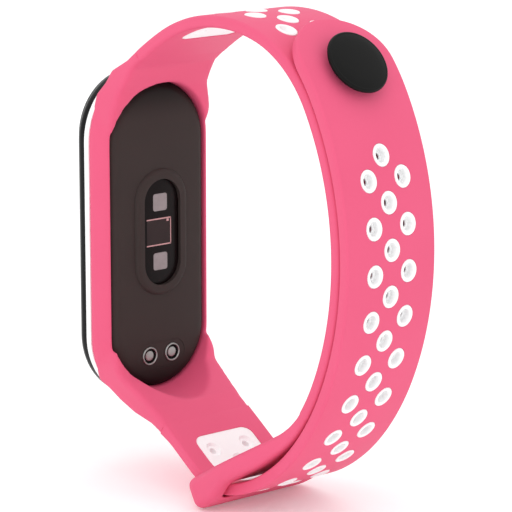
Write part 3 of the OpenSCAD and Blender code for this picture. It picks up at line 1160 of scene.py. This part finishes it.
class TRACKER_OT_insides(bpy.types.Operator):
    """Gives the pieces that stay as they were designed their finishes"""

    bl_idname = "tracker.insides"
    bl_label = "Inner pieces"

    def execute(self, context):
        slots = {s["node"]: s["material_slot"] for s in frame["record"]["subparts"]}
        for node, obj in frame["nodes"].items():
            obj.data.materials.clear()
            obj.data.materials.append(finish(slots[node]))
        return {"FINISHED"}


# ---- Stage ----


def lamp(name, place, aim, size, power):
    """A large soft lamp."""
    data = bpy.data.lights.new(name, "AREA")
    data.shape = "DISK"
    data.size = size
    data.energy = power
    obj = bpy.data.objects.new(name, data)
    obj.location = place
    obj.rotation_euler = (Vector(aim) - Vector(place)).to_track_quat("-Z", "Y").to_euler()
    bpy.context.scene.collection.objects.link(obj)


class TRACKER_OT_stage(bpy.types.Operator):
    """Makes the floor, the lights and the camera"""

    bl_idname = "tracker.stage"
    bl_label = "Stage"

    def execute(self, context):
        scene = context.scene
        setup = scene.tracker_stage
        floor_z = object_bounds()[0][2]
        bm = bmesh.new()
        bmesh.ops.create_grid(bm, x_segments=2, y_segments=2, size=6)
        bmesh.ops.translate(bm, verts=bm.verts, vec=(0, 0, floor_z - 0.0001))
        mesh = bpy.data.meshes.new("floor")
        bm.to_mesh(mesh)
        bm.free()
        floor = bpy.data.objects.new("floor", mesh)
        scene.collection.objects.link(floor)
        pale = grained_finish(
            "Pale floor", (250, 250, 250), (254, 254, 254), rough=(0.9, 1.0), bump=0.0, patch=2.0
        )
        glow = pale.node_tree.nodes["Principled BSDF"]
        glow.inputs["Emission Color"].default_value = (1, 1, 1, 1)
        glow.inputs["Emission Strength"].default_value = 0.12
        mesh.materials.append(pale)
        floor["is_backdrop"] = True

        world = bpy.data.worlds.new("Studio")
        world.use_nodes = True
        back = world.node_tree.nodes["Background"]
        back.inputs["Color"].default_value = (1, 1, 1, 1)
        back.inputs["Strength"].default_value = 1.0
        scene.world = world
        lamp("key", (0.25, -0.5, 0.45), (0, 0, 0), 0.5, 0.6)
        lamp("top", (0.0, 0.1, 0.7), (0, 0, 0), 0.6, 0.5)

        aim = Vector((-1.2, -0.3, 0.65)) * MM
        a = setup.azimuth
        e = setup.elevation
        back_way = Vector((math.sin(a) * math.cos(e), -math.cos(a) * math.cos(e), math.sin(e)))
        data = bpy.data.cameras.new("camera")
        data.lens = setup.focal_length
        data.sensor_width = 36
        camera = bpy.data.objects.new("camera", data)
        camera.location = aim + back_way * setup.distance
        camera.rotation_euler = back_way.to_track_quat("Z", "Y").to_euler()
        scene.collection.objects.link(camera)
        scene.camera = camera
        scene.view_settings.view_transform = "Standard"
        return {"FINISHED"}


class TRACKER_PT_panel(bpy.types.Panel):
    """Lists the pieces of the tracker band"""

    bl_label = "Fitness tracker band"
    bl_idname = "TRACKER_PT_panel"
    bl_space_type = "VIEW_3D"
    bl_region_type = "UI"
    bl_category = "Tracker"

    def draw(self, context):
        layout = self.layout
        for name in TrackerSizes.__annotations__:
            layout.prop(context.scene.tracker_sizes, name)
        for name in TrackerStage.__annotations__:
            layout.prop(context.scene.tracker_stage, name)
        for op in OPERATORS:
            layout.operator(op.bl_idname)


OPERATORS = (
    TRACKER_OT_carrier,
    TRACKER_OT_keeper,
    TRACKER_OT_hole_strap,
    TRACKER_OT_stud_strap,
    TRACKER_OT_linings,
    TRACKER_OT_stud,
    TRACKER_OT_tracker_case,
    TRACKER_OT_sensor,
    TRACKER_OT_contacts,
    TRACKER_OT_insides,
    TRACKER_OT_stage,
)
CLASSES = (TrackerSizes, TrackerStage, *OPERATORS, TRACKER_PT_panel)


def register():
    for cls in CLASSES:
        bpy.utils.register_class(cls)
    bpy.types.Scene.tracker_sizes = bpy.props.PointerProperty(type=TrackerSizes)
    bpy.types.Scene.tracker_stage = bpy.props.PointerProperty(type=TrackerStage)


def unregister():
    del bpy.types.Scene.tracker_stage
    del bpy.types.Scene.tracker_sizes
    for cls in reversed(CLASSES):
        bpy.utils.unregister_class(cls)


def main():
    """Registers the add-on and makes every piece."""
    register()
    for op in OPERATORS:
        group, name = op.bl_idname.split(".")
        getattr(getattr(bpy.ops, group), name)()


if __name__ == "__main__":
    main()
